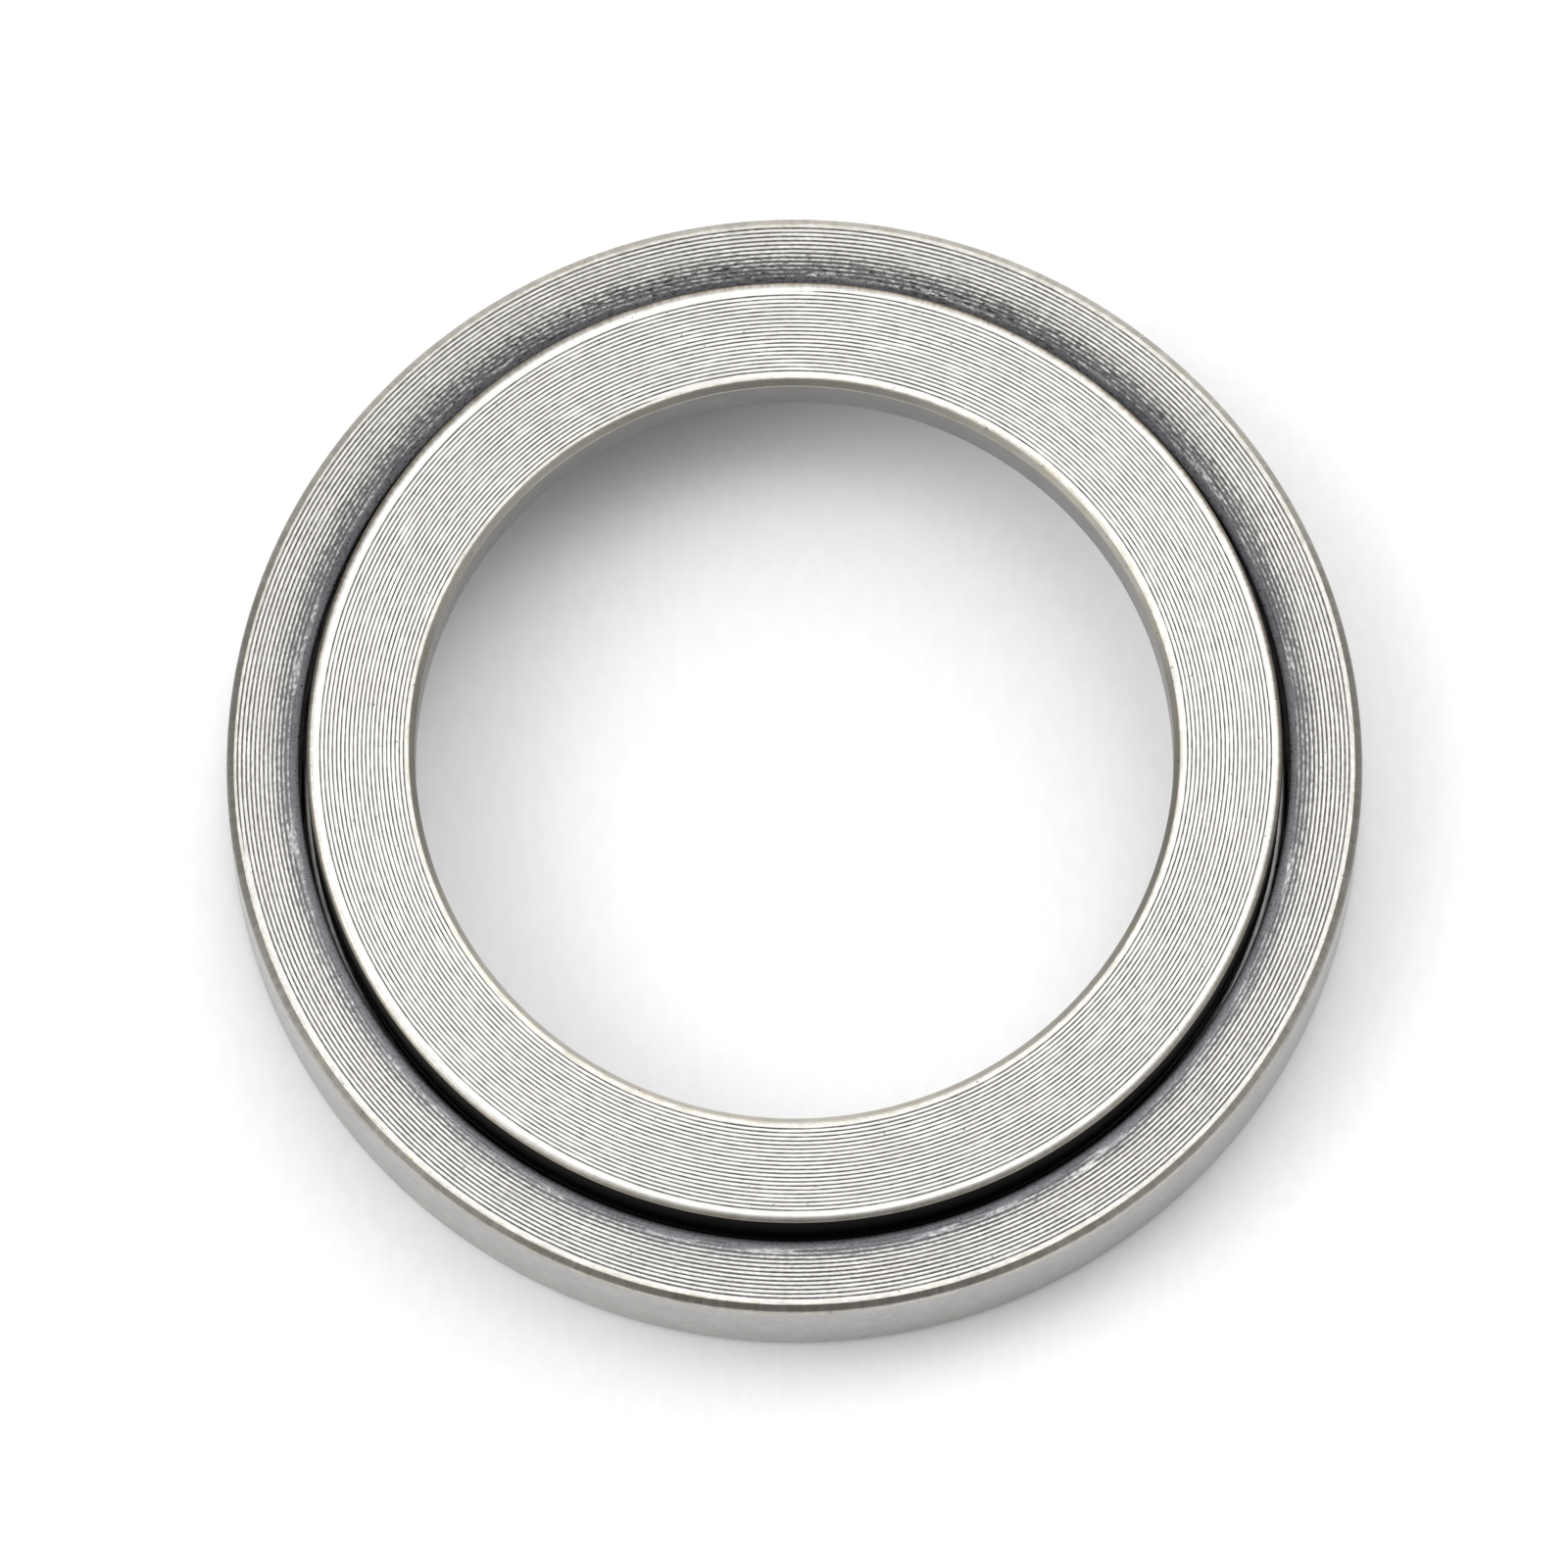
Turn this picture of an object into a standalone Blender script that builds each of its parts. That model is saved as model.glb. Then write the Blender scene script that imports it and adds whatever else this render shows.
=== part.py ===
"""Single-direction thrust ball bearing, 30 mm shaft, 45 mm housing, 7.1 mm high.

Two turned steel rings lie on one another with a row of balls between them. The housing ring has an
L-shaped section: a floor that carries the lower raceway, and a wall that hides the balls and guides
them. The shaft washer lies inside that wall and stands proud of it, with the upper raceway on its
underside. A flat cage keeps the balls apart.

Frame: metres, +Z up, origin on the bearing's axis in the plane that the housing ring rests on.
"""

import math

import bmesh
import bpy
from mathutils import Matrix

MM = 0.001

# Driving dimensions, as on a bearing drawing.
OUTSIDE_DIAMETER = 45.0 * MM
SHAFT_BORE_DIAMETER = 30.0 * MM
BEARING_HEIGHT = 7.1 * MM
HOUSING_HEIGHT = 5.4 * MM
RING_THICKNESS = 2.5 * MM            # the shaft washer's, and the housing ring's floor
WALL_BORE_DIAMETER = 39.2 * MM       # inside the housing ring's wall
WASHER_OUTSIDE_DIAMETER = 38.6 * MM
FLOOR_BORE_DIAMETER = 32.8 * MM      # larger than the shaft, so that the shaft never rubs on it

BALL_COUNT = 30
BALL_DIAMETER = 2.778 * MM           # 7/64 inch, a standard grade of ball
PITCH_DIAMETER = 35.2 * MM           # the circle through the balls' centres
RACE_CLEARANCE = 0.05 * MM           # between a ball and the bottom of each raceway
RACE_CONFORMITY = 0.52               # raceway groove radius over ball diameter

CAGE_THICKNESS = 1.3 * MM
CAGE_BORE_DIAMETER = 31.6 * MM
CAGE_OUTSIDE_DIAMETER = 38.6 * MM
POCKET_CLEARANCE = 0.061 * MM        # between a ball and its pocket's wall

HOUSING_CHAMFER = 0.3 * MM
WASHER_CHAMFER = 0.25 * MM
INNER_CHAMFER = 0.12 * MM            # on the edges that face the balls

# Fineness of the faceted solids.
RING_SEGMENTS = 120
GROOVE_SEGMENTS = 8
CAGE_SEGMENTS = 60                   # twice the number of balls: a corner at each pocket and web
POCKET_SEGMENTS = 14
BALL_SEGMENTS = 14
BALL_RINGS = 8
SHARP_ANGLE = math.radians(30)
CUTTER_OVERRUN = 0.5 * MM

ORIGIN = (0.0, 0.0, 0.0)
UP = (0.0, 0.0, 1.0)

# Dimensions that follow from those above.
BALL_RADIUS = BALL_DIAMETER / 2
PITCH_RADIUS = PITCH_DIAMETER / 2
WASHER_UNDERSIDE = BEARING_HEIGHT - RING_THICKNESS
BALL_CENTRE_HEIGHT = (RING_THICKNESS + WASHER_UNDERSIDE) / 2
RACE_BOTTOM_FROM_CENTRE = BALL_RADIUS + RACE_CLEARANCE
GROOVE_RADIUS = RACE_CONFORMITY * BALL_DIAMETER
GROOVE_DEPTH = RACE_BOTTOM_FROM_CENTRE - (WASHER_UNDERSIDE - BALL_CENTRE_HEIGHT)
POCKET_RADIUS = BALL_RADIUS + POCKET_CLEARANCE


def clear_scene():
    for scene_object in list(bpy.data.objects):
        bpy.data.objects.remove(scene_object, do_unlink=True)


def make_material(name, colour, roughness):
    """A metal's Principled material, with its colour in linear RGB."""
    material = bpy.data.materials.new(name)
    material.use_nodes = True
    shader = material.node_tree.nodes["Principled BSDF"]
    shader.inputs["Base Color"].default_value = (*colour, 1.0)
    shader.inputs["Metallic"].default_value = 1.0
    shader.inputs["Roughness"].default_value = roughness
    return material


def add_object(name, mesh, material):
    """Put a mesh into the scene as the sub-part of that name."""
    part = bpy.data.objects.new(name, mesh)
    bpy.context.scene.collection.objects.link(part)
    mesh.materials.append(material)
    return part


def groove_points(opening, depth_sign):
    """The raceway's section, from its outer edge to its inner edge.

    opening is the height of the flat that the groove is cut into. depth_sign is +1 for a groove
    that is cut upwards, into a washer's underside, and -1 for one that is cut down into a floor.
    """
    centre_height = opening + depth_sign * (GROOVE_DEPTH - GROOVE_RADIUS)
    half_angle = math.acos((GROOVE_RADIUS - GROOVE_DEPTH) / GROOVE_RADIUS)
    points = []
    for step in range(GROOVE_SEGMENTS + 1):
        angle = half_angle * (1 - 2 * step / GROOVE_SEGMENTS)
        radius = PITCH_RADIUS + GROOVE_RADIUS * math.sin(angle)
        height = centre_height + depth_sign * GROOVE_RADIUS * math.cos(angle)
        points.append((radius, height))
    return points


def turned_part(name, profile, segments, material):
    """Turn a closed profile of (radius, height) points about Z into a ring."""
    shape = bmesh.new()
    corners = [shape.verts.new((radius, 0.0, height)) for radius, height in profile]
    sides = [shape.edges.new((corners[index - 1], corners[index])) for index in range(len(corners))]
    bmesh.ops.spin(shape, geom=corners + sides, cent=ORIGIN, axis=UP, angle=2 * math.pi,
                   steps=segments, use_merge=True)
    bmesh.ops.recalc_face_normals(shape, faces=shape.faces)
    mesh = bpy.data.meshes.new(name)
    shape.to_mesh(mesh)
    shape.free()
    mesh.shade_smooth()
    mesh.set_sharp_from_angle(angle=SHARP_ANGLE)
    return add_object(name, mesh, material)


def housing_ring(material):
    """The fixed ring: a floor with the lower raceway, and the wall round the balls."""
    outer = OUTSIDE_DIAMETER / 2
    wall_bore = WALL_BORE_DIAMETER / 2
    floor_bore = FLOOR_BORE_DIAMETER / 2
    profile = [
        (wall_bore, HOUSING_HEIGHT),
        (outer - HOUSING_CHAMFER, HOUSING_HEIGHT),
        (outer, HOUSING_HEIGHT - HOUSING_CHAMFER),
        (outer, HOUSING_CHAMFER),
        (outer - HOUSING_CHAMFER, 0.0),
        (floor_bore + INNER_CHAMFER, 0.0),
        (floor_bore, INNER_CHAMFER),
        (floor_bore, RING_THICKNESS - INNER_CHAMFER),
        (floor_bore + INNER_CHAMFER, RING_THICKNESS),
    ]
    profile += reversed(groove_points(RING_THICKNESS, -1))
    profile.append((wall_bore, RING_THICKNESS))
    return turned_part("housing_ring", profile, RING_SEGMENTS, material)


def shaft_washer(material):
    """The turning ring: the upper raceway is on its underside."""
    outer = WASHER_OUTSIDE_DIAMETER / 2
    bore = SHAFT_BORE_DIAMETER / 2
    profile = [
        (bore + WASHER_CHAMFER, BEARING_HEIGHT),
        (outer - WASHER_CHAMFER, BEARING_HEIGHT),
        (outer, BEARING_HEIGHT - WASHER_CHAMFER),
        (outer, WASHER_UNDERSIDE + INNER_CHAMFER),
        (outer - INNER_CHAMFER, WASHER_UNDERSIDE),
    ]
    profile += groove_points(WASHER_UNDERSIDE, +1)
    profile += [
        (bore + INNER_CHAMFER, WASHER_UNDERSIDE),
        (bore, WASHER_UNDERSIDE + INNER_CHAMFER),
        (bore, BEARING_HEIGHT - WASHER_CHAMFER),
    ]
    return turned_part("shaft_washer", profile, RING_SEGMENTS, material)


def ball_angle(index):
    """How far round the pitch circle from +X a ball lies."""
    return 2 * math.pi * index / BALL_COUNT


def pocket_cutter():
    """One upright cylinder through the cage for each ball, in the cage's own frame."""
    mesh = bpy.data.meshes.new("pocket_cutter")
    shape = bmesh.new()
    depth = CAGE_THICKNESS + 2 * CUTTER_OVERRUN
    for index in range(BALL_COUNT):
        cylinder = bmesh.ops.create_cone(
            shape, cap_ends=True, segments=POCKET_SEGMENTS,
            radius1=POCKET_RADIUS, radius2=POCKET_RADIUS, depth=depth)
        bmesh.ops.translate(shape, verts=cylinder["verts"], vec=(PITCH_RADIUS, 0.0, 0.0))
        bmesh.ops.rotate(shape, verts=cylinder["verts"], cent=ORIGIN,
                         matrix=Matrix.Rotation(ball_angle(index), 3, "Z"))
    shape.to_mesh(mesh)
    shape.free()
    cutter = bpy.data.objects.new("pocket_cutter", mesh)
    bpy.context.scene.collection.objects.link(cutter)
    cutter.hide_render = True
    cutter.display_type = "WIRE"
    return cutter


def ball_cage(material):
    """The flat retainer ring that keeps the balls apart, with its origin on the bearing's axis."""
    outer = CAGE_OUTSIDE_DIAMETER / 2
    bore = CAGE_BORE_DIAMETER / 2
    half = CAGE_THICKNESS / 2
    profile = [(bore, half), (outer, half), (outer, -half), (bore, -half)]
    cage = turned_part("ball_cage", profile, CAGE_SEGMENTS, material)
    cage.location = (0.0, 0.0, BALL_CENTRE_HEIGHT)
    cutter = pocket_cutter()
    cutter.parent = cage
    pockets = cage.modifiers.new("pockets", "BOOLEAN")
    pockets.operation = "DIFFERENCE"
    pockets.solver = "EXACT"
    pockets.object = cutter
    return cage


def ball_mesh():
    """A ball whose poles lie on X, the axis that it rolls about."""
    mesh = bpy.data.meshes.new("ball")
    shape = bmesh.new()
    bmesh.ops.create_uvsphere(shape, u_segments=BALL_SEGMENTS, v_segments=BALL_RINGS,
                              radius=BALL_RADIUS)
    bmesh.ops.rotate(shape, verts=shape.verts, cent=ORIGIN,
                     matrix=Matrix.Rotation(math.pi / 2, 3, "Y"))
    shape.to_mesh(mesh)
    shape.free()
    mesh.shade_smooth()
    return mesh


def balls(cage, material):
    """The row of balls, each at its own place in the cage and turned so that X is radial."""
    mesh = ball_mesh()
    mesh.materials.append(material)
    for index in range(BALL_COUNT):
        ball = bpy.data.objects.new(f"ball_{index + 1:02d}", mesh)
        bpy.context.scene.collection.objects.link(ball)
        ball.parent = cage
        angle = ball_angle(index)
        ball.location = (PITCH_RADIUS * math.cos(angle), PITCH_RADIUS * math.sin(angle), 0.0)
        ball.rotation_euler = (0.0, 0.0, angle)


def main():
    clear_scene()
    ring_steel = make_material("ring_steel", (0.58, 0.57, 0.55), 0.34)
    ball_steel = make_material("ball_steel", (0.72, 0.72, 0.73), 0.08)
    cage_steel = make_material("cage_steel", (0.40, 0.39, 0.37), 0.45)
    housing_ring(ring_steel)
    shaft_washer(ring_steel)
    cage = ball_cage(cage_steel)
    balls(cage, ball_steel)


main()
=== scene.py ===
"""Looks of the thrust ball bearing: finely turned steel rings, their balls and cage, on white paper."""

import math

import bmesh
import bpy
import numpy as np
from mathutils import Matrix, Vector, noise


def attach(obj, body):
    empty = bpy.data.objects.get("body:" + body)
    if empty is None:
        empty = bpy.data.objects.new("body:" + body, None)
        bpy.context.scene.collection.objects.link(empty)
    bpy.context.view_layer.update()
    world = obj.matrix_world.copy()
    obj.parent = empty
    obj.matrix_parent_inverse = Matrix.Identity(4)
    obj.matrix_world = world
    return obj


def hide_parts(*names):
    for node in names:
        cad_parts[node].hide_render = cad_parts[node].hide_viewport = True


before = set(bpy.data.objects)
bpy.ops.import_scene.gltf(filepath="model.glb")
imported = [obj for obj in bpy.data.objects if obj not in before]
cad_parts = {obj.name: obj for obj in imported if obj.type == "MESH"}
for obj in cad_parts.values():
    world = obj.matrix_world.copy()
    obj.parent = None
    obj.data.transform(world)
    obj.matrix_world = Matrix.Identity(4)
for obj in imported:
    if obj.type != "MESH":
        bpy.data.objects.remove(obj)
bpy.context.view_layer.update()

MM = 0.001
TOUCHING = 0.001 * MM                # two heights or radii this close are the same
NEARBY = 10 * TOUCHING
BALL_NODES = sorted(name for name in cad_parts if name.startswith("ball_") and name[5:].isdigit())

# Fineness of the meshes.
TURN_SEGMENTS = 480
FILLET_STEPS = 5
RACE_STEPS = 20
BALL_SEGMENTS = 48
BALL_RINGS = 24
POCKET_SEGMENTS = 40                 # a multiple of 8, so that the cells' corners are among them
SHARP_ANGLE = math.radians(40)
NEVER_SHARP = math.pi

# Proportions that follow from a ball's radius.
GROOVE_RADIUS_SHARE = 1.04
POCKET_RADIUS_SHARE = 1.044

# Fillets that soften the ends of a chamfer, or round an edge over.
CHAMFER_FILLET = 0.34 * MM
BORE_FILLET = 0.14 * MM
ROUNDED_EDGE = 0.27 * MM             # the shaft washer's outer edge
FACE_FILLET = 0.07 * MM              # between the housing's face and its chamfer
CORNER_FILLET = 0.05 * MM
FLOOR_FILLET = 0.2 * MM              # where the housing ring's floor meets its wall
CAGE_ROUNDING = 0.12 * MM
FILLET_SHARE = 0.45                  # the most of a side that a fillet at one end takes up
SUPPORT_SHARE = 0.15                 # how far past its fillet a support point lies, over its reach

# Feed marks: the shallow spiral that a facing tool leaves. A mark's section is given by pairs of
# (place across one pitch, depth as a share of the whole), from the middle of one land to the next.
MARK_SECTION = ((0.0, 0.0), (0.25, 0.0), (0.38, 0.6), (0.5, 1.0), (0.62, 0.6), (0.75, 0.0))
MARK_FADE_TURNS = 0.05               # the tool's run-in and run-out
DEPTH_UNEVENNESS = 0.25
UNEVEN_CELLS = 18                    # noise cells to a radian, in a mark's depth
PATCH_CELLS = 9                      # the same, in the patches that break a mark up
PATCH_CONTRAST = 0.9
WASHER_MARKS = {"pitch": 0.165 * MM, "count": 21, "depth": 0.0075 * MM, "start": 0.25 * MM,
                "seam": math.radians(100), "handed": -1, "broken_marks": 0}
HOUSING_MARKS = {"pitch": 0.1735 * MM, "count": 13, "depth": 0.0080 * MM, "start": 0.30 * MM,
                 "seam": math.radians(200), "handed": -1, "broken_marks": 3}
SWAGE_DROP = 0.06 * MM               # how far the housing's face falls away beside the gap
SWAGE_WIDTH = 0.10 * MM
LIP_STEPS = 3                        # points along the lip between the gap and the first mark
LIP_MARGIN = 1.1                     # pitches between the lip's end and where the marks begin

# How the dashes that break the marks up are spaced: noise cells to a radian.
BANDED_FACE_DASHES = 90.0
PLAIN_FACE_DASHES = 42.0
FAR_OUTSIDE = 9.0 * MM               # moves a place out of reach of the band of painted shade


# ---------------------------------------------------------------- sizes read from the frame

def section(node):
    """The radius and the height of every corner of a CAD ring."""
    corners = np.array([vertex.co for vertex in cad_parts[node].data.vertices])
    return np.hypot(corners[:, 0], corners[:, 1]), corners[:, 2]


def ball_place(node):
    """A CAD ball's centre and radius."""
    corners = np.array([vertex.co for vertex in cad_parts[node].data.vertices])
    centre = (corners.min(0) + corners.max(0)) / 2
    return Vector(centre), float(np.linalg.norm(corners - centre, axis=1).max())


first_centre, BALL_RADIUS = ball_place(BALL_NODES[0])
PITCH_RADIUS = math.hypot(first_centre.x, first_centre.y)
BALL_HEIGHT = first_centre.z


# ---------------------------------------------------------------- profiles

def filleted(corners):
    """Points (radius, height, ground) along a profile of (radius, height, fillet, ground) corners.

    A support point beside each end of a fillet's arc keeps the flats flat when they are shaded
    smooth. ground is 1 where the surface is a ground raceway.
    """
    points = []
    for index, (radius, height, fillet, ground) in enumerate(corners):
        here = np.array((radius, height))
        if fillet == 0.0 or index in (0, len(corners) - 1):
            points.append((radius, height, ground))
            continue
        before = np.array(corners[index - 1][:2]) - here
        after = np.array(corners[index + 1][:2]) - here
        before_unit = before / np.linalg.norm(before)
        after_unit = after / np.linalg.norm(after)
        half = math.acos(float(np.clip(before_unit @ after_unit, -1, 1))) / 2
        longest = FILLET_SHARE * min(np.linalg.norm(before), np.linalg.norm(after))
        if index in (1, len(corners) - 2):
            longest = 2 * longest
        reach = min(fillet / math.tan(half), longest)
        arc_radius = reach * math.tan(half)
        bisector = (before_unit + after_unit) / np.linalg.norm(before_unit + after_unit)
        centre = here + bisector * arc_radius / math.sin(half)
        start = here + before_unit * reach
        end = here + after_unit * reach
        start_angle = math.atan2(*(start - centre)[::-1])
        end_angle = math.atan2(*(end - centre)[::-1])
        turn = (end_angle - start_angle + math.pi) % (2 * math.pi) - math.pi
        points.append((*(start + before_unit * reach * SUPPORT_SHARE), ground))
        for step in range(FILLET_STEPS + 1):
            angle = start_angle + turn * step / FILLET_STEPS
            on_arc = centre + arc_radius * np.array((math.cos(angle), math.sin(angle)))
            points.append((*on_arc, ground))
        points.append((*(end + after_unit * reach * SUPPORT_SHARE), ground))
    return points


def raceway(opening, bottom, outward):
    """A raceway's arc, from its inner to its outer edge if outward, else the other way."""
    depth = abs(bottom - opening)
    groove_radius = GROOVE_RADIUS_SHARE * BALL_RADIUS
    side = 1 if bottom > opening else -1
    centre_height = bottom - side * groove_radius
    half_angle = math.acos((groove_radius - depth) / groove_radius)
    arc = []
    for step in range(RACE_STEPS + 1):
        angle = half_angle * (2 * step / RACE_STEPS - 1)
        arc.append((PITCH_RADIUS + groove_radius * math.sin(angle),
                    centre_height + side * groove_radius * math.cos(angle), 0.0, 1.0))
    return arc if outward else arc[::-1]


# ---------------------------------------------------------------- turned meshes

def smooth(value):
    """Ease from 0 to 1 as a value goes from 0 to 1."""
    value = min(max(value, 0.0), 1.0)
    return value * value * (3 - 2 * value)


def mark_strength(turns_done, turns_left, angle, marks):
    """How much of its full depth a feed mark has at a place along the spiral.

    It fades at both ends of the spiral, and the marks beside a worn inner edge are broken up.
    """
    strength = smooth(min(turns_done, turns_left) / MARK_FADE_TURNS)
    x, y = math.cos(angle), math.sin(angle)
    along = Vector((UNEVEN_CELLS * x, UNEVEN_CELLS * y, 7.3 * turns_left))
    strength *= 1 + DEPTH_UNEVENNESS * noise.noise(along)
    if turns_left < marks["broken_marks"]:
        patches = Vector((PATCH_CELLS * x, PATCH_CELLS * y, 3.1 * round(turns_left) + 40))
        cover = turns_left / marks["broken_marks"] + PATCH_CONTRAST * noise.noise(patches)
        strength *= smooth(1.6 * cover)
    return strength


def turned_ring(name, body, face_height, inner_edge, marks):
    """Turn the open profile `body` about Z and close it with a face that bears a spiral of feed marks.

    body runs from the face's outer lip, down the outer side and round to the face's inner lip.
    face_height gives the face's height at a radius, and inner_edge is where the marks begin. The
    spiral's rows follow the mark, so each row ends one mark further in than it began.
    """
    segments = TURN_SEGMENTS
    per_mark = len(MARK_SECTION)
    rows = per_mark * marks["count"]
    angles = [marks["seam"] + marks["handed"] * 2 * math.pi * column / segments
              for column in range(segments)]
    vertices, mark_share, ground_share = [], [], []

    def add(radius, height, angle, mark, ground):
        vertices.append((radius * math.cos(angle), radius * math.sin(angle), height))
        mark_share.append(mark)
        ground_share.append(ground)
        return len(vertices) - 1

    body_rows = [[add(radius, height, angle, 0.0, ground) for angle in angles]
                 for radius, height, ground in body]

    def spiral_vertex(row, column):
        mark, step = divmod(row, per_mark)
        place, share = MARK_SECTION[step]
        turns = column / segments
        angle = marks["seam"] + marks["handed"] * 2 * math.pi * turns
        radius = inner_edge + marks["pitch"] * (mark + place - turns)
        strength = mark_strength(marks["count"] - 1 - mark + turns, mark + 1 - turns, angle, marks)
        from_land = (1 - abs(2 * place - 1)) * min(strength, 1.0)
        return add(radius, face_height(radius) - marks["depth"] * share * strength, angle, from_land, 0.0)

    spiral = [[spiral_vertex(row, column) for column in range(segments)] for row in range(rows + 1)]
    run_out = [spiral_vertex(row, segments) for row in range(per_mark)]
    for row in range(rows + 1):
        spiral[row].append(run_out[row] if row < per_mark else spiral[row - per_mark][0])

    faces = []
    for lower, upper in zip(body_rows[:-1], body_rows[1:]):
        for column in range(segments):
            after = (column + 1) % segments
            faces.append((lower[column], lower[after], upper[after], upper[column]))
    for lower, upper in zip(spiral[:-1], spiral[1:]):
        for column in range(segments):
            faces.append((lower[column], lower[column + 1], upper[column + 1], upper[column]))
    outer_lip, inner_lip = body_rows[0], body_rows[-1]
    for column in range(segments):
        after = (column + 1) % segments
        outer_face = [outer_lip[column], outer_lip[after], spiral[rows][column + 1], spiral[rows][column]]
        inner_face = [spiral[0][column], spiral[0][column + 1], inner_lip[after], inner_lip[column]]
        if column == segments - 1:
            step_up = [spiral[row][0] for row in range(rows, rows - per_mark, -1)]
            outer_face[2:3] = step_up + [spiral[rows][segments]]
        if column == 0:
            inner_face[3:4] = [inner_lip[0]] + run_out
        faces.append(tuple(outer_face))
        faces.append(tuple(inner_face))
    mesh = bpy.data.meshes.new(name)
    mesh.from_pydata(vertices, [], faces)
    mesh.attributes.new("mark", "FLOAT", "POINT").data.foreach_set("value", mark_share)
    mesh.attributes.new("ground", "FLOAT", "POINT").data.foreach_set("value", ground_share)
    return finished_mesh(name, mesh, SHARP_ANGLE)


def finished_mesh(name, mesh, sharp_angle):
    """Turn every face outwards, shade smooth up to the sharp angle, and put the mesh in the scene."""
    shape = bmesh.new()
    shape.from_mesh(mesh)
    bmesh.ops.recalc_face_normals(shape, faces=shape.faces)
    shape.to_mesh(mesh)
    shape.free()
    mesh.shade_smooth()
    mesh.set_sharp_from_angle(angle=sharp_angle)
    piece = bpy.data.objects.new(name, mesh)
    bpy.context.scene.collection.objects.link(piece)
    return piece


def housing_ring():
    """The lower ring: a floor with the lower raceway, and the wall round the balls."""
    radii, heights = section("housing_ring")
    outer, floor_bore, top = radii.max(), radii.min(), heights.max()
    on_face = heights > top - TOUCHING
    wall_bore, face_edge = radii[on_face].min(), radii[on_face].max()
    chamfer = outer - face_edge
    floor = heights[abs(radii - wall_bore) < TOUCHING].min()
    seat_inner = radii[heights < TOUCHING].min()
    bore_chamfer = seat_inner - floor_bore
    race_bottom = heights[abs(radii - PITCH_RADIUS) < NEARBY].min()
    corners = [
        (face_edge - 0.5 * FACE_FILLET, top, 0.0, 0.0),
        (face_edge, top, FACE_FILLET, 0.0),
        (outer, top - chamfer, CHAMFER_FILLET, 0.0),
        (outer, chamfer, CHAMFER_FILLET, 0.0),
        (face_edge, 0.0, CHAMFER_FILLET, 0.0),
        (seat_inner, 0.0, CORNER_FILLET, 0.0),
        (floor_bore, bore_chamfer, CORNER_FILLET, 0.0),
        (floor_bore, floor - bore_chamfer, CORNER_FILLET, 0.0),
        (seat_inner, floor, 0.0, 0.0),
        *raceway(floor, race_bottom, outward=True),
        (wall_bore, floor, FLOOR_FILLET, 0.0),
    ]

    def face_height(radius):
        """The face falls away beside the gap."""
        return top - SWAGE_DROP * math.exp((wall_bore - radius) / SWAGE_WIDTH)

    lip_end = wall_bore + HOUSING_MARKS["start"] - LIP_MARGIN * HOUSING_MARKS["pitch"]
    for step in range(LIP_STEPS + 1):
        radius = wall_bore + (lip_end - wall_bore) * step / LIP_STEPS
        corners.append((radius, face_height(radius), CORNER_FILLET if step == 0 else 0.0, 0.0))
    return turned_ring("turned_housing_ring", filleted(corners), face_height,
                       wall_bore + HOUSING_MARKS["start"], HOUSING_MARKS)


def shaft_washer():
    """The upper ring, with the upper raceway on its underside."""
    radii, heights = section("shaft_washer")
    outer, bore, top, underside = radii.max(), radii.min(), heights.max(), heights.min()
    on_face = heights > top - TOUCHING
    bore_edge, face_edge = radii[on_face].min(), radii[on_face].max()
    below = heights < underside + TOUCHING
    under_inner, under_outer = radii[below].min(), radii[below].max()
    race_bottom = heights[abs(radii - PITCH_RADIUS) < NEARBY].max()
    corners = [
        (outer - 1.2 * ROUNDED_EDGE, top, 0.0, 0.0),
        (outer, top, ROUNDED_EDGE, 0.0),
        (outer, underside + (outer - under_outer), CORNER_FILLET, 0.0),
        (under_outer, underside, CORNER_FILLET, 0.0),
        *raceway(underside, race_bottom, outward=False),
        (under_inner, underside, CORNER_FILLET, 0.0),
        (bore, underside + (under_inner - bore), CORNER_FILLET, 0.0),
        (bore, top - (bore_edge - bore), BORE_FILLET, 0.0),
        (bore_edge, top, BORE_FILLET, 0.0),
        (bore_edge + 0.5 * BORE_FILLET, top, 0.0, 0.0),
    ]
    return turned_ring("turned_shaft_washer", filleted(corners), lambda radius: top,
                       bore_edge + WASHER_MARKS["start"], WASHER_MARKS)


# ---------------------------------------------------------------- balls and cage

CELL_RING_SHARES = (0.0, 0.12, 1.0)  # where a cell's rings lie, from its pocket to its border


def ball(name, node):
    """A ball whose poles lie on the radial axis that it rolls about."""
    centre, radius = ball_place(node)
    mesh = bpy.data.meshes.new(name)
    shape = bmesh.new()
    bmesh.ops.create_uvsphere(shape, u_segments=BALL_SEGMENTS, v_segments=BALL_RINGS, radius=radius)
    outwards = Matrix.Rotation(math.atan2(centre.y, centre.x), 4, "Z")
    turn = outwards @ Matrix.Rotation(math.pi / 2, 4, "Y")
    bmesh.ops.transform(shape, verts=shape.verts, matrix=Matrix.Translation(centre) @ turn)
    shape.to_mesh(mesh)
    shape.free()
    return finished_mesh(name, mesh, NEVER_SHARP)


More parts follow.
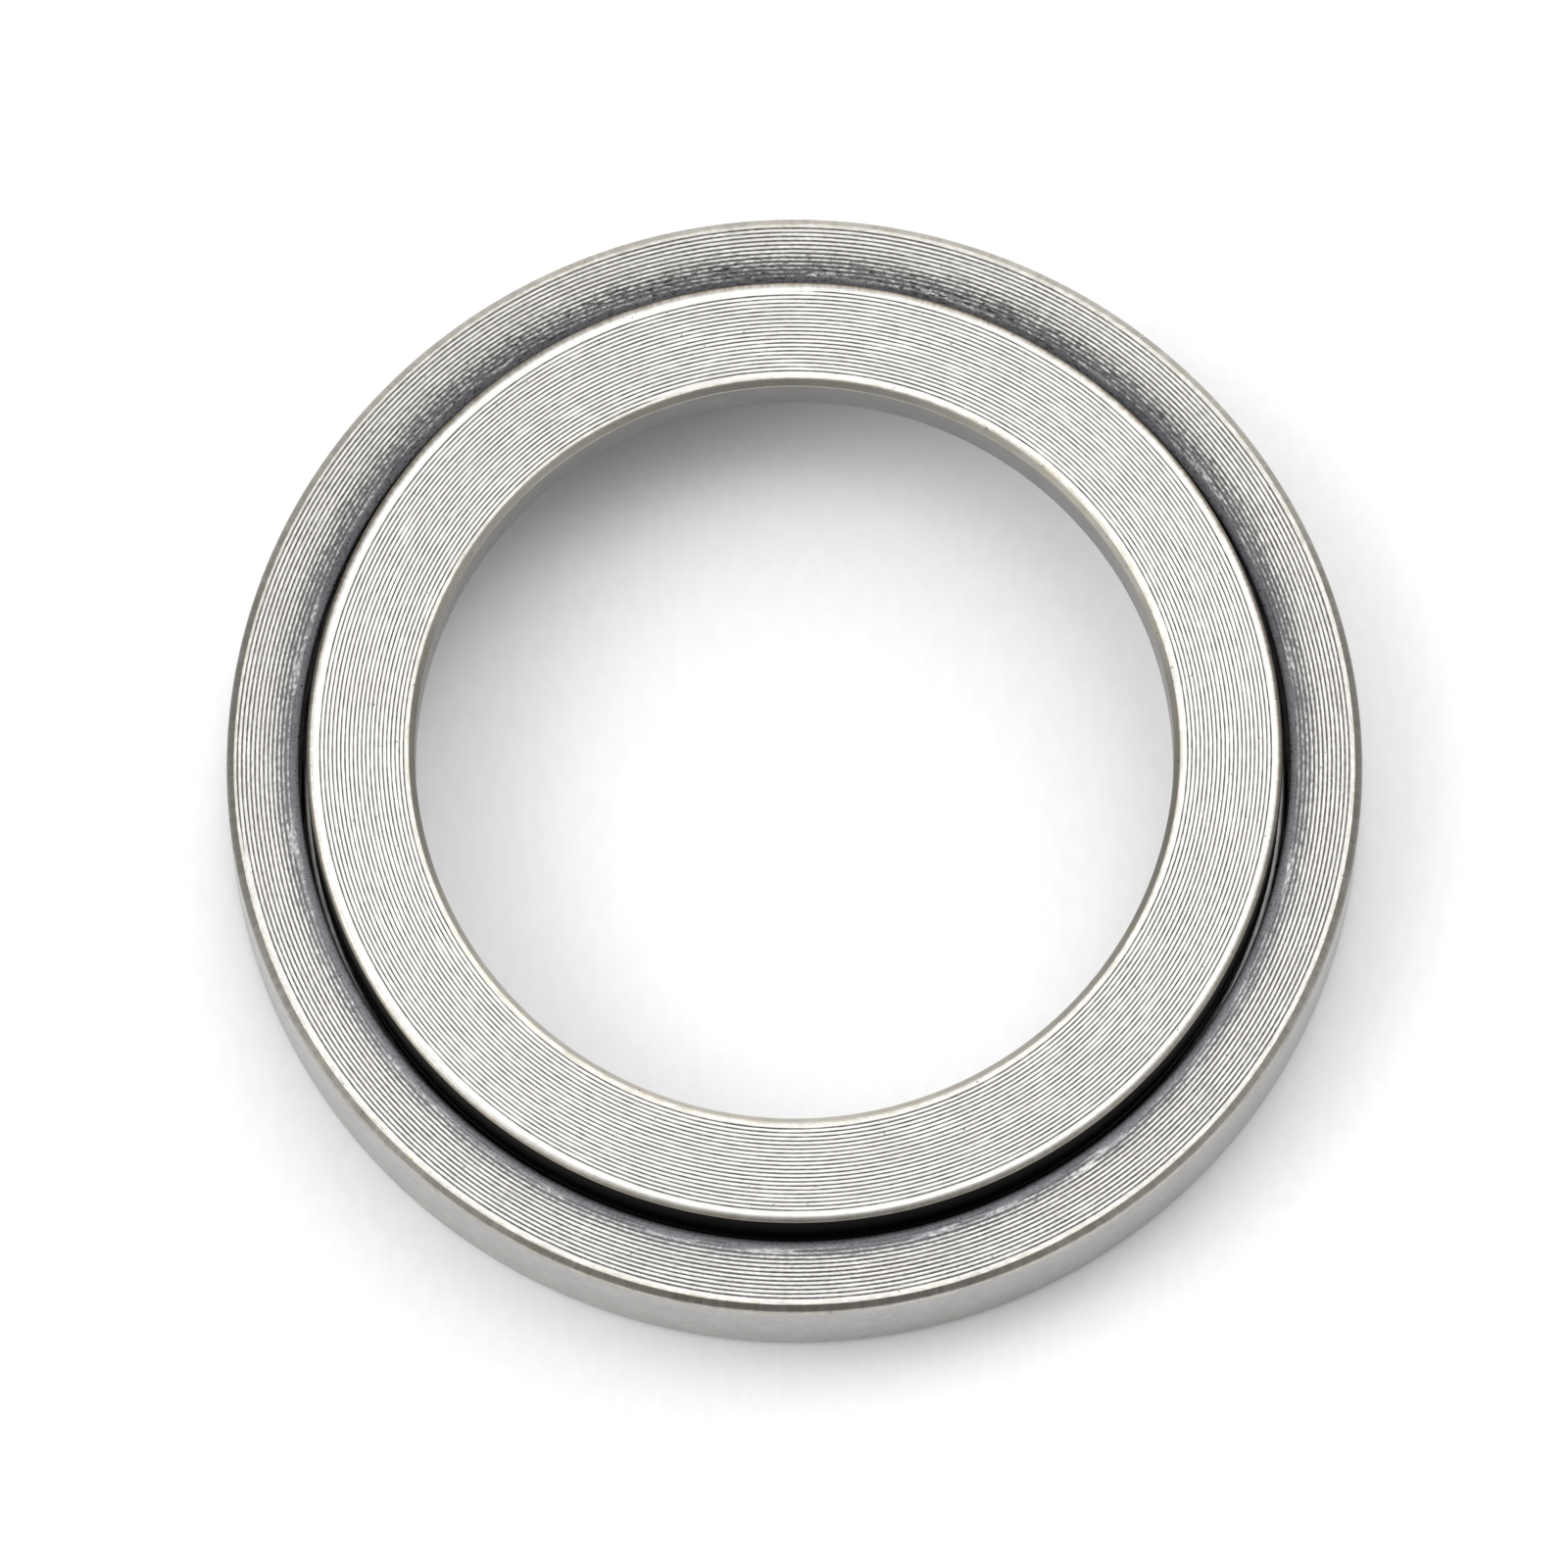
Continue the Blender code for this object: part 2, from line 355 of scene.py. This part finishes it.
def cage_cell(shape, middle, half_width, bore, outer, pocket_radius):
    """Add one flat cell of the cage: rings of points from its round pocket to its border.

    middle is the angle that the cell lies at, and half_width is half the angle that it takes up.
    """
    rings = []
    for share in CELL_RING_SHARES:
        ring = []
        for step in range(POCKET_SEGMENTS):
            turn = 2 * math.pi * step / POCKET_SEGMENTS
            across, along = math.cos(turn), math.sin(turn)
            reach = 1 / max(abs(across), abs(along))
            border_radius = (bore + outer) / 2 + (outer - bore) / 2 * across * reach
            border_angle = half_width * along * reach
            border = Vector((border_radius * math.cos(border_angle),
                             border_radius * math.sin(border_angle)))
            pocket = Vector((PITCH_RADIUS + pocket_radius * across, pocket_radius * along))
            flat = pocket.lerp(border, share)
            flat.rotate(Matrix.Rotation(middle, 2))
            ring.append(shape.verts.new((flat.x, flat.y, BALL_HEIGHT)))
        rings.append(ring)
    for inner, outer_ring in zip(rings[:-1], rings[1:]):
        for step in range(POCKET_SEGMENTS):
            after = (step + 1) % POCKET_SEGMENTS
            shape.faces.new((inner[step], outer_ring[step], outer_ring[after], inner[after]))


def ball_cage():
    """The flat cage, with rounded edges and a round pocket for each ball."""
    radii, heights = section("ball_cage")
    bore, outer = radii.min(), radii.max()
    thickness = heights.max() - heights.min()
    pocket_radius = POCKET_RADIUS_SHARE * BALL_RADIUS
    shape = bmesh.new()
    count = len(BALL_NODES)
    for index in range(count):
        cage_cell(shape, 2 * math.pi * index / count, math.pi / count, bore, outer, pocket_radius)
    bmesh.ops.remove_doubles(shape, verts=shape.verts, dist=TOUCHING)
    mesh = bpy.data.meshes.new("pressed_ball_cage")
    shape.to_mesh(mesh)
    shape.free()
    cage = finished_mesh("pressed_ball_cage", mesh, SHARP_ANGLE)
    thick = cage.modifiers.new("thickness", "SOLIDIFY")
    thick.thickness = thickness
    thick.offset = 0.0
    edges = cage.modifiers.new("edges", "BEVEL")
    edges.width = CAGE_ROUNDING
    edges.segments = 3
    edges.limit_method = "ANGLE"
    edges.angle_limit = math.radians(60)
    return cage


# ---------------------------------------------------------------- materials

# Linear colours.
BRIGHT_STEEL = (0.560, 0.552, 0.530)
TORN_STEEL = (0.085, 0.080, 0.073)
# Grey of the painted shade and reflection beside the gap.
BAND_SHADE_GREY = (0.125, 0.125, 0.134)
GROUND_STEEL = (0.50, 0.49, 0.475)
BLACK_SCALE = (0.012, 0.011, 0.010)  # what hardening leaves on a wall that isn't turned
SCALE_DUST = (0.2, 0.19, 0.18)
EDGE_STAIN = (0.98, 0.93, 0.84)
RIM_STAIN = (0.30, 0.255, 0.20)
LIP_STAIN = (0.78, 0.73, 0.64)
# Near-black for grime and for painted shade beside the gap.
GAP_DIRT_AND_SHADE = (0.02, 0.02, 0.022)
MARK_DIRT = (0.05, 0.045, 0.04)
BALL_STEEL = ((0.60, 0.60, 0.61), (0.70, 0.69, 0.68))
CAGE_STEEL = ((0.27, 0.262, 0.25), (0.40, 0.392, 0.375))
# Black of oil and painted shade on the cage's rim.
CAGE_OIL_AND_SHADE = (0.022, 0.020, 0.018)
PAPER_WHITE = ((0.915, 0.912, 0.924), (0.937, 0.935, 0.942))


def opaque(colour, tone=1.0):
    """A colour for a socket, scaled by a tone."""
    return (*[tone * channel for channel in colour], 1.0)


class Nodes:
    """Short calls that add and join shader nodes."""

    def __init__(self, tree):
        self.tree = tree

    def set_input(self, socket, value):
        if isinstance(value, bpy.types.NodeSocket):
            self.tree.links.new(value, socket)
        elif value is not None:
            socket.default_value = value

    def add(self, kind, inputs=(), **settings):
        node = self.tree.nodes.new(kind)
        for key, value in settings.items():
            setattr(node, key, value)
        for key, value in dict(inputs).items():
            self.set_input(node.inputs[key], value)
        return node

    def math(self, operation, first, second=None, third=None):
        node = self.add("ShaderNodeMath", operation=operation)
        for socket, value in zip(node.inputs, (first, second, third)):
            self.set_input(socket, value)
        return node.outputs[0]

    def ramp(self, value, low, high, to_low=0.0, to_high=1.0):
        """Smoothly take the range low to high onto the range to_low to to_high."""
        node = self.add("ShaderNodeMapRange", {"Value": value, "From Min": low, "From Max": high,
                                               "To Min": to_low, "To Max": to_high},
                        interpolation_type="SMOOTHSTEP")
        return node.outputs["Result"]

    def spread(self, texture, to_low=0.0, to_high=1.0):
        """Take the range that most of a noise lies in onto the range to_low to to_high."""
        return self.ramp(texture, 0.3, 0.7, to_low, to_high)

    def mix(self, share, first, second, blend="MIX"):
        node = self.add("ShaderNodeMix", data_type="RGBA", blend_type=blend)
        self.set_input(node.inputs[0], share)
        self.set_input(node.inputs[6], first)
        self.set_input(node.inputs[7], second)
        return node.outputs[2]

    def darken(self, share, colour, tone):
        """A colour multiplied by a grey tone, by that share."""
        return self.mix(share, colour, self.combine(tone, tone, tone), "MULTIPLY")

    def blend(self, share, first, second):
        """A value that goes from the first to the second with the share."""
        node = self.add("ShaderNodeMix", {0: share, 2: first, 3: second}, data_type="FLOAT")
        return node.outputs[0]

    def noise(self, vector, scale, detail=2.0, roughness=0.5):
        """Noise of that many cells to a metre."""
        node = self.add("ShaderNodeTexNoise", {"Vector": vector, "Scale": scale, "Detail": detail,
                                               "Roughness": roughness})
        return node.outputs["Fac"]

    def combine(self, x, y, z):
        return self.add("ShaderNodeCombineXYZ", {"X": x, "Y": y, "Z": z}).outputs[0]

    def attribute(self, name):
        return self.add("ShaderNodeAttribute", attribute_name=name).outputs["Fac"]

    def bump(self, strength, distance, height):
        node = self.add("ShaderNodeBump", {"Strength": strength, "Distance": distance, "Height": height})
        return node.outputs["Normal"]


def new_material(name):
    material = bpy.data.materials.new(name)
    material.use_nodes = True
    shader = material.node_tree.nodes["Principled BSDF"]
    return material, Nodes(material.node_tree), shader


def turned_coordinates(nodes):
    """Object coordinates, and the radius, height and unit direction about the bearing's axis."""
    place = nodes.add("ShaderNodeTexCoord").outputs["Object"]
    split = nodes.add("ShaderNodeSeparateXYZ", {"Vector": place}).outputs
    radius = nodes.math("SQRT", nodes.math("ADD", nodes.math("MULTIPLY", split["X"], split["X"]),
                                           nodes.math("MULTIPLY", split["Y"], split["Y"])))
    return {"place": place, "radius": radius, "height": split["Z"],
            "x": nodes.math("DIVIDE", split["X"], radius), "y": nodes.math("DIVIDE", split["Y"], radius)}


def streaks(nodes, at, around, across, detail=2.0):
    """Noise drawn out along the turning direction: `around` cells to a radian, `across` to a metre."""
    depth = nodes.math("ADD", at["radius"], at["height"])
    vector = nodes.combine(nodes.math("MULTIPLY", at["x"], around), nodes.math("MULTIPLY", at["y"], around),
                           nodes.math("MULTIPLY", depth, across))
    return nodes.noise(vector, 1.0, detail)


def ring_surface(nodes, dashes_around):
    """A ring's coordinates, with the directions and textures that its layers share.

    flat is 1 on faces, and side is 1 on chamfers and walls. dashes break the feed marks up, and
    fine_lines are the turning lines within them.
    """
    at = turned_coordinates(nodes)
    normal = nodes.add("ShaderNodeTexCoord").outputs["Normal"]
    facing = nodes.add("ShaderNodeSeparateXYZ", {"Vector": normal}).outputs["Z"]
    at["upright"] = nodes.math("ABSOLUTE", facing)
    at["flat"] = nodes.ramp(at["upright"], 0.80, 0.95)
    at["side"] = nodes.ramp(at["upright"], 0.85, 0.97, 1.0, 0.0)
    at["dashes"] = streaks(nodes, at, dashes_around, 9000.0)
    at["fine_lines"] = streaks(nodes, at, 14.0, 60000.0)
    at["grain"] = nodes.noise(at["place"], 16000.0, 2.0, 0.6)
    return at


def bright_land(nodes, at):
    """The colour of the steel between feed marks: slightly clouded, with fine turning lines."""
    cloud = nodes.noise(at["place"], 900.0, 3.0, 0.6)
    tone = nodes.math("MULTIPLY", nodes.spread(cloud, 0.95, 1.05), nodes.spread(at["fine_lines"], 0.95, 1.04))
    return nodes.darken(1.0, opaque(BRIGHT_STEEL), tone)


def gap_shade_layer(nodes, at, start, end, lowest):
    """The sandy grey band beside the gap, a painted shade and reflection of the washer's raised wall: its
    colour, and where it lies.

    reach is a place's radius, wandering a little, and put far outside the band where the place is
    below `lowest`. The painted shade reaches further out on one side of the ring, +Y, and is painted darker
    there.
    """
    sand = nodes.noise(at["place"], 9000.0, 1.0)
    wander = nodes.spread(nodes.noise(at["place"], 600.0, 2.0), -0.05 * MM, 0.05 * MM)
    below = nodes.ramp(at["height"], lowest, lowest + 0.1 * MM, 1.0, 0.0)
    reach = nodes.math("MULTIPLY_ADD", below, FAR_OUTSIDE, nodes.math("ADD", at["radius"], wander))
    grey = nodes.mix(nodes.spread(sand), opaque(BAND_SHADE_GREY, 0.8), opaque(BAND_SHADE_GREY, 1.2))
    return {"start": start, "sand": sand, "reach": reach,
            # Painted shade: the band reaches further out, and is darker, towards +Y.
            "shade_end": nodes.ramp(at["y"], -1.0, 1.0, end - 0.6 * MM, end + 0.25 * MM),
            "grey": nodes.darken(1.0, grey, nodes.ramp(at["y"], -1.0, 1.0, 1.75, 0.62))}


def painted_band_shade(nodes, at, band, land, torn_colour):
    """The land, the torn marks' colour and how wide the marks are, on a face with a band of painted shade.

    The lands come through the painted shade as bright dashes, the marks fade into its grey, and painted shade
    darkens the lands towards +Y.
    """
    start, shade_end = band["start"], band["shade_end"]
    # Painted shade: the lands darken towards +Y; the streaks vary their tone at random.
    tone = nodes.math("MULTIPLY", nodes.ramp(at["y"], -0.9, 0.2, 0.98, 0.86),
                      nodes.spread(streaks(nodes, at, 70.0, 15000.0), 0.88, 1.10))
    land = nodes.darken(1.0, land, tone)
    # Painted shade: rubbed is the share of land that shows through the band of painted shade.
    rubbed = nodes.math("ADD", nodes.ramp(band["reach"], start + 0.30 * MM, shade_end),
                        nodes.spread(at["dashes"], -0.30, 0.30))
    land = nodes.mix(nodes.ramp(rubbed, -0.15, 0.70, 0.10, 1.0), band["grey"], land)
    line_start = nodes.math("ADD", nodes.ramp(band["reach"], start + 0.25 * MM, shade_end, 0.05, 0.33),
                            nodes.ramp(at["dashes"], 0.25, 0.75, 0.0, 0.12))
    faded = nodes.ramp(band["reach"], start + 0.2 * MM, shade_end, 0.7, 0.0)
    return land, nodes.mix(faded, torn_colour, band["grey"]), line_start


def gap_dirt_and_shade(nodes, at, band, base, roughness):
    """Close to the gap the painted shade band is unbroken and rougher, and its pits and cuts are black with
    grime and painted shade, thicker near the gap and towards +Y.
    """
    start, shade_end = band["start"], band["shade_end"]
    solid = nodes.ramp(band["reach"], start + 0.30 * MM, start + 0.42 * MM, 1.0, 0.0)
    base = nodes.mix(solid, base, band["grey"])
    roughness = nodes.math("ADD", roughness, nodes.math("MULTIPLY", solid, 0.10))
    pit_edge = nodes.ramp(at["y"], -0.8, 0.8, 0.65, 0.59)
    pits = nodes.math("MULTIPLY", nodes.ramp(band["sand"], pit_edge, nodes.math("ADD", pit_edge, 0.07)),
                      nodes.ramp(band["reach"], start, start + 1.1 * MM, 0.85, 0.0))
    cuts = nodes.math("MULTIPLY", nodes.ramp(streaks(nodes, at, 58.0, 12500.0), 0.56, 0.64),
                      nodes.ramp(band["reach"], start + 0.6 * MM, shade_end, 1.0, 0.0))
    cuts = nodes.math("MULTIPLY", cuts, nodes.ramp(at["y"], 0.0, 1.0, 0.1, 0.9))
    # Black in the pits and cuts: partly grime, partly painted shade beside the gap and towards +Y.
    dirt_and_shade = nodes.math("MULTIPLY", nodes.math("MAXIMUM", pits, cuts), at["flat"])
    return nodes.mix(dirt_and_shade, base, opaque(GAP_DIRT_AND_SHADE)), roughness


def stained_sides(nodes, at, base, slope_tone, wall_tone):
    """Chamfers and walls are cut finer than the faces, the chamfers are stained, unevenly, and painted shade
    darkens them towards ±X.
    """
    # Painted shade: the chamfers are darkened towards ±X, to 0.44 of their tone.
    shade_towards_x = nodes.ramp(nodes.math("ABSOLUTE", at["y"]), 0.10, 0.8, 0.44, 1.0)
    tone = nodes.ramp(at["upright"], 0.1, 0.4, wall_tone, nodes.math("MULTIPLY", shade_towards_x, slope_tone))
    base = nodes.darken(at["side"], base, tone)
    chamfer = nodes.math("MULTIPLY", nodes.ramp(at["upright"], 0.10, 0.30), at["side"])
    uneven = nodes.ramp(nodes.noise(at["place"], 1500.0, 4.0, 0.65), 0.35, 0.62, 0.45, 1.0)
    return nodes.mix(nodes.math("MULTIPLY", chamfer, uneven), base, opaque(EDGE_STAIN), "MULTIPLY")


def stained_lip(nodes, at, base, lip):
    """The rubbed edge of a face is mottled with a faint brown stain."""
    mottle = nodes.ramp(nodes.noise(at["place"], 2600.0, 3.0, 0.65), 0.35, 0.6, 0.2, 1.0)
    near_lip = nodes.ramp(at["radius"], *lip)
    rubbed = nodes.math("MULTIPLY", near_lip, nodes.math("MULTIPLY", mottle, at["flat"]))
    return nodes.mix(rubbed, base, opaque(LIP_STAIN), "MULTIPLY")


def black_wall_layer(nodes, at, wall_radius, base, roughness):
    """The outer wall is still black from hardening, and the rim above it is stained and burred, more so
    towards +Y.
    """
    burrs = nodes.spread(streaks(nodes, at, 110.0, 2500.0, 3.0), -0.045 * MM, 0.045 * MM)
    near_rim = nodes.ramp(nodes.math("ADD", at["radius"], burrs),
                          wall_radius - 0.36 * MM, wall_radius + 0.02 * MM)
    # The rim's stain is half as strong at -Y as at +Y.
    rim = nodes.math("MULTIPLY", near_rim, nodes.ramp(at["y"], -1.0, 1.0, 0.5, 1.0))
    base = nodes.mix(rim, base, opaque(RIM_STAIN), "MULTIPLY")
    outermost = nodes.ramp(at["radius"], wall_radius - 0.12 * MM, wall_radius - 0.06 * MM)
    wall = nodes.math("MULTIPLY", outermost, nodes.ramp(at["upright"], 0.60, 0.40))
    dust = nodes.ramp(nodes.noise(at["place"], 12000.0, 1.0), 0.66, 0.74, 0.0, 0.25)
    black = nodes.mix(dust, opaque(BLACK_SCALE), opaque(SCALE_DUST))
    return nodes.mix(wall, base, black), nodes.blend(wall, roughness, 0.6)


def ring_steel(name, slope_tone, wall_tone, slope_roughness, lip, gap_band=None, black_wall=None):
    """Turned bearing steel: bright lands, dark torn feed marks, stained edges and ground raceways.

    slope_tone and wall_tone darken the chamfers and the walls, and slope_roughness is added there.
    lip is the radius where a rubbed edge begins and that where it is rubbed most.
    gap_band is the radius where a grey band of painted shade and reflection begins, that where it
    ends, and the lowest height it covers. black_wall is the radius of a wall that is still black from
    hardening.
    """
    material, nodes, shader = new_material(name)
    at = ring_surface(nodes, BANDED_FACE_DASHES if gap_band else PLAIN_FACE_DASHES)
    land = bright_land(nodes, at)
    roughness = nodes.math("ADD", nodes.spread(at["fine_lines"], 0.42, 0.36),
                           nodes.spread(at["grain"], -0.03, 0.03))
    torn_colour = nodes.mix(nodes.spread(at["dashes"]), opaque(TORN_STEEL), opaque(TORN_STEEL, 1.6))
    if gap_band:
        band = gap_shade_layer(nodes, at, *gap_band)
        land, torn_colour, line_start = painted_band_shade(nodes, at, band, land, torn_colour)
    else:
        line_start = nodes.ramp(at["dashes"], 0.25, 0.75, 0.38, 0.50)

    # The metal is torn, rough and dark along each feed mark.
    torn = nodes.ramp(nodes.attribute("mark"), line_start, nodes.math("ADD", line_start, 0.34))
    base = nodes.mix(torn, land, torn_colour)
    roughness = nodes.math("ADD", roughness, nodes.math("MULTIPLY", torn, 0.10))
    if gap_band:
        base, roughness = gap_dirt_and_shade(nodes, at, band, base, roughness)
    base = stained_sides(nodes, at, base, slope_tone, wall_tone)
    roughness = nodes.math("MULTIPLY_ADD", at["side"], slope_roughness, roughness)
    base = stained_lip(nodes, at, base, lip)

    # Dirt is caught here and there in the marks.
    speck = nodes.ramp(nodes.noise(at["place"], 5200.0, 1.0), 0.735, 0.775)
    base = nodes.mix(nodes.math("MULTIPLY", speck, 0.7), base, opaque(MARK_DIRT))

    # The raceways are ground and lapped.
    ground = nodes.attribute("ground")
    base = nodes.mix(ground, base, opaque(GROUND_STEEL))
    roughness = nodes.blend(ground, roughness, nodes.spread(at["fine_lines"], 0.14, 0.2))
    if black_wall:
        base, roughness = black_wall_layer(nodes, at, black_wall, base, roughness)

    height = nodes.math("ADD", nodes.math("MULTIPLY", at["fine_lines"], 0.6),
                        nodes.math("MULTIPLY", at["grain"], 0.4))
    strength = nodes.math("MULTIPLY_ADD", at["side"], -0.29, 0.35)
    nodes.set_input(shader.inputs["Base Color"], base)
    nodes.set_input(shader.inputs["Roughness"], roughness)
    nodes.set_input(shader.inputs["Normal"], nodes.bump(strength, 0.004 * MM, height))
    shader.inputs["Metallic"].default_value = 1.0
    shader.inputs["Anisotropic"].default_value = 0.2
    shader.inputs["Anisotropic Rotation"].default_value = 0.25
    tangent = nodes.add("ShaderNodeTangent", direction_type="RADIAL", axis="Z")
    nodes.set_input(shader.inputs["Tangent"], tangent.outputs["Tangent"])
    return material


def ball_steel():
    """Lapped ball steel, with hair-fine scratches and a trace of oil."""
    material, nodes, shader = new_material("polished_ball_steel")
    place = nodes.add("ShaderNodeTexCoord").outputs["Object"]
    oil = nodes.noise(place, 700.0, 3.0)
    stretched = nodes.add("ShaderNodeMapping", {"Vector": place, "Scale": (1.0, 9.0, 3.0),
                                                "Rotation": (0.4, 0.7, 0.2)}).outputs[0]
    cells = nodes.add("ShaderNodeTexVoronoi", {"Vector": stretched, "Scale": 900.0},
                      feature="DISTANCE_TO_EDGE")
    scratch = nodes.ramp(cells.outputs["Distance"], 0.02, 0.0, 0.0, 0.10)
    darker, lighter = BALL_STEEL
    base = nodes.mix(nodes.spread(oil), opaque(darker), opaque(lighter))
    nodes.set_input(shader.inputs["Base Color"], base)
    nodes.set_input(shader.inputs["Roughness"],
                    nodes.math("ADD", nodes.ramp(oil, 0.35, 0.7, 0.05, 0.12), scratch))
    shader.inputs["Metallic"].default_value = 1.0
    return material


def cage_steel(rim):
    """Pressed and tumbled cage steel: satin, a little mottled, and black near its rim with oil and painted
    shade.
    """
    material, nodes, shader = new_material("pressed_cage_steel")
    at = turned_coordinates(nodes)
    cloud = nodes.noise(at["place"], 1100.0, 4.0, 0.6)
    grain = nodes.noise(at["place"], 14000.0, 2.0)
    darker, lighter = CAGE_STEEL
    # Oil and painted shade: the rim, seen only through the dark gap, is painted black.
    oil_and_shade = nodes.ramp(at["radius"], rim - 0.7 * MM, rim - 0.3 * MM)
    base = nodes.mix(nodes.spread(cloud), opaque(darker), opaque(lighter))
    nodes.set_input(shader.inputs["Base Color"], nodes.mix(oil_and_shade, base, opaque(CAGE_OIL_AND_SHADE)))
    nodes.set_input(shader.inputs["Roughness"],
                    nodes.math("ADD", nodes.spread(cloud, 0.46, 0.34), nodes.spread(grain, -0.04, 0.04)))
    nodes.set_input(shader.inputs["Normal"], nodes.bump(0.4, 0.006 * MM, grain))
    shader.inputs["Metallic"].default_value = 1.0
    return material


def white_paper():
    """Heavy white paper, with a faint fibre that shows in the shadows."""
    material, nodes, shader = new_material("white_paper")
    place = nodes.add("ShaderNodeTexCoord").outputs["Object"]
    lengthened = nodes.add("ShaderNodeMapping", {"Vector": place, "Scale": (1.0, 0.45, 1.0)}).outputs[0]
    fibre = nodes.noise(lengthened, 1900.0, 3.0, 0.55)
    tooth = nodes.noise(place, 650.0, 2.0)
    darker, lighter = PAPER_WHITE
    height = nodes.math("ADD", nodes.math("MULTIPLY", fibre, 0.6), nodes.math("MULTIPLY", tooth, 0.4))
    base = nodes.mix(nodes.spread(fibre), opaque(darker), opaque(lighter))
    nodes.set_input(shader.inputs["Base Color"], base)
    nodes.set_input(shader.inputs["Normal"], nodes.bump(0.5, 0.02 * MM, height))
    shader.inputs["Roughness"].default_value = 0.9
    shader.inputs["Specular IOR Level"].default_value = 0.2
    return material


# ---------------------------------------------------------------- stage, lights and camera

CAMERA_ELEVATION = math.radians(74.72)
CAMERA_DISTANCE = 0.72
FRAME_SPAN = 62.54 * MM              # what the frame's width takes in, at the bearing
AIM_ASIDE = -0.414 * MM
AIM_UP = 0.473 * MM
SENSOR_WIDTH = 36.0
CLIP_START = 0.01
CLIP_END = 20.0
PAPER_HALF_WIDTH = 3.0
PAPER_HEIGHT = -0.01 * MM            # just clear of the seat, so that no two faces coincide

# Soft lights of the studio: (azimuth, elevation, narrowness, radiance at the centre). Azimuth 0 is
# +X and 90 is +Y, in degrees. The camera's side is left dim, as it is behind a camera. The last light
# shows the underside when the part is seen without its paper.
SOFT_LIGHTS = (
    (60, 74, 40.0, 3.85),
    (140, 74, 40.0, 1.05),
    (45, 45, 12.0, 2.30),
    (180, 45, 12.0, 4.30),
    (225, 45, 12.0, 0.40),
    (270, 45, 12.0, 0.15),
    (315, 45, 12.0, 0.40),
    (0, 20, 12.0, 1.03),
    (45, 20, 12.0, 0.63),
    (90, 20, 12.0, 2.23),
    (180, 20, 12.0, 0.50),
    (225, 20, 12.0, 0.25),
    (315, 20, 12.0, 0.25),
    (0, -90, 6.0, 1.50),
)


def make_camera():
    """A camera that looks at the bearing from the photo's angle, with its up in the Y-Z plane."""
    data = bpy.data.cameras.new("camera")
    camera = bpy.data.objects.new("camera", data)
    bpy.context.scene.collection.objects.link(camera)
    back = Vector((0.0, -math.cos(CAMERA_ELEVATION), math.sin(CAMERA_ELEVATION)))
    up = Vector((0.0, math.sin(CAMERA_ELEVATION), math.cos(CAMERA_ELEVATION)))
    aim = Vector((AIM_ASIDE, 0.0, 0.0)) + up * AIM_UP
    camera.location = aim + back * CAMERA_DISTANCE
    camera.rotation_mode = "QUATERNION"
    camera.rotation_quaternion = back.to_track_quat("Z", "Y")
    data.sensor_width = SENSOR_WIDTH
    data.lens = SENSOR_WIDTH * CAMERA_DISTANCE / FRAME_SPAN
    data.clip_start = CLIP_START
    data.clip_end = CLIP_END
    bpy.context.scene.camera = camera


def make_floor():
    """A flat sheet of white paper."""
    half = PAPER_HALF_WIDTH
    corners = [(x, y, PAPER_HEIGHT) for x, y in ((-half, -half), (half, -half), (half, half), (-half, half))]
    mesh = bpy.data.meshes.new("paper")
    mesh.from_pydata(corners, [], [(0, 1, 2, 3)])
    paper = bpy.data.objects.new("paper", mesh)
    bpy.context.scene.collection.objects.link(paper)
    paper.data.materials.append(white_paper())


def make_world():
    """Soft lights all round, each a smooth lobe of the sky."""
    world = bpy.data.worlds.new("studio")
    bpy.context.scene.world = world
    world.use_nodes = True
    nodes = Nodes(world.node_tree)
    direction = nodes.add("ShaderNodeTexCoord").outputs["Generated"]
    total = 0.0
    for azimuth, elevation, narrowness, radiance in SOFT_LIGHTS:
        a, e = math.radians(azimuth), math.radians(elevation)
        middle = (math.cos(a) * math.cos(e), math.sin(a) * math.cos(e), math.sin(e))
        facing = nodes.add("ShaderNodeVectorMath", {0: direction, 1: middle}, operation="DOT_PRODUCT")
        away = nodes.math("SUBTRACT", facing.outputs["Value"], 1.0)
        lobe = nodes.math("EXPONENT", nodes.math("MULTIPLY", away, narrowness))
        total = nodes.math("MULTIPLY_ADD", lobe, radiance, total)
    background = world.node_tree.nodes["Background"]
    nodes.set_input(background.inputs["Strength"], total)
    background.inputs["Color"].default_value = (1.0, 1.0, 1.0, 1.0)


# ---------------------------------------------------------------- assembly

def settle(piece, body, node, material):
    """Make a piece ride on its body and stand for its CAD node and material."""
    piece.data.materials.append(material)
    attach(piece, body)
    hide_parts(node)


housing_radii, housing_heights = section("housing_ring")
housing_top = housing_heights.max()
housing_face = housing_radii[housing_heights > housing_top - TOUCHING]
wall_bore, housing_lip = housing_face.min(), housing_face.max()
washer_radii, washer_heights = section("shaft_washer")
washer_lip = washer_radii[washer_heights > washer_heights.max() - TOUCHING].min()
cage_rim = section("ball_cage")[0].max()

housing_steel = ring_steel(
    "turned_housing_steel", slope_tone=0.84, wall_tone=0.84, slope_roughness=-0.08,
    lip=(housing_lip - 0.20 * MM, housing_lip + 0.02 * MM),
    gap_band=(wall_bore, wall_bore + 1.7 * MM, housing_top - 0.4 * MM))
washer_steel = ring_steel(
    "turned_washer_steel", slope_tone=1.05, wall_tone=0.48, slope_roughness=0.03,
    lip=(washer_lip + 0.24 * MM, washer_lip - 0.02 * MM), black_wall=washer_radii.max())

settle(housing_ring(), "housing", "housing_ring", housing_steel)
settle(shaft_washer(), "washer", "shaft_washer", washer_steel)
settle(ball_cage(), "cage", "ball_cage", cage_steel(cage_rim))
lapped = ball_steel()
for node in BALL_NODES:
    settle(ball(f"lapped_{node}", node), node, node, lapped)

make_camera()
make_floor()
make_world()
bpy.context.scene.view_settings.view_transform = "Standard"
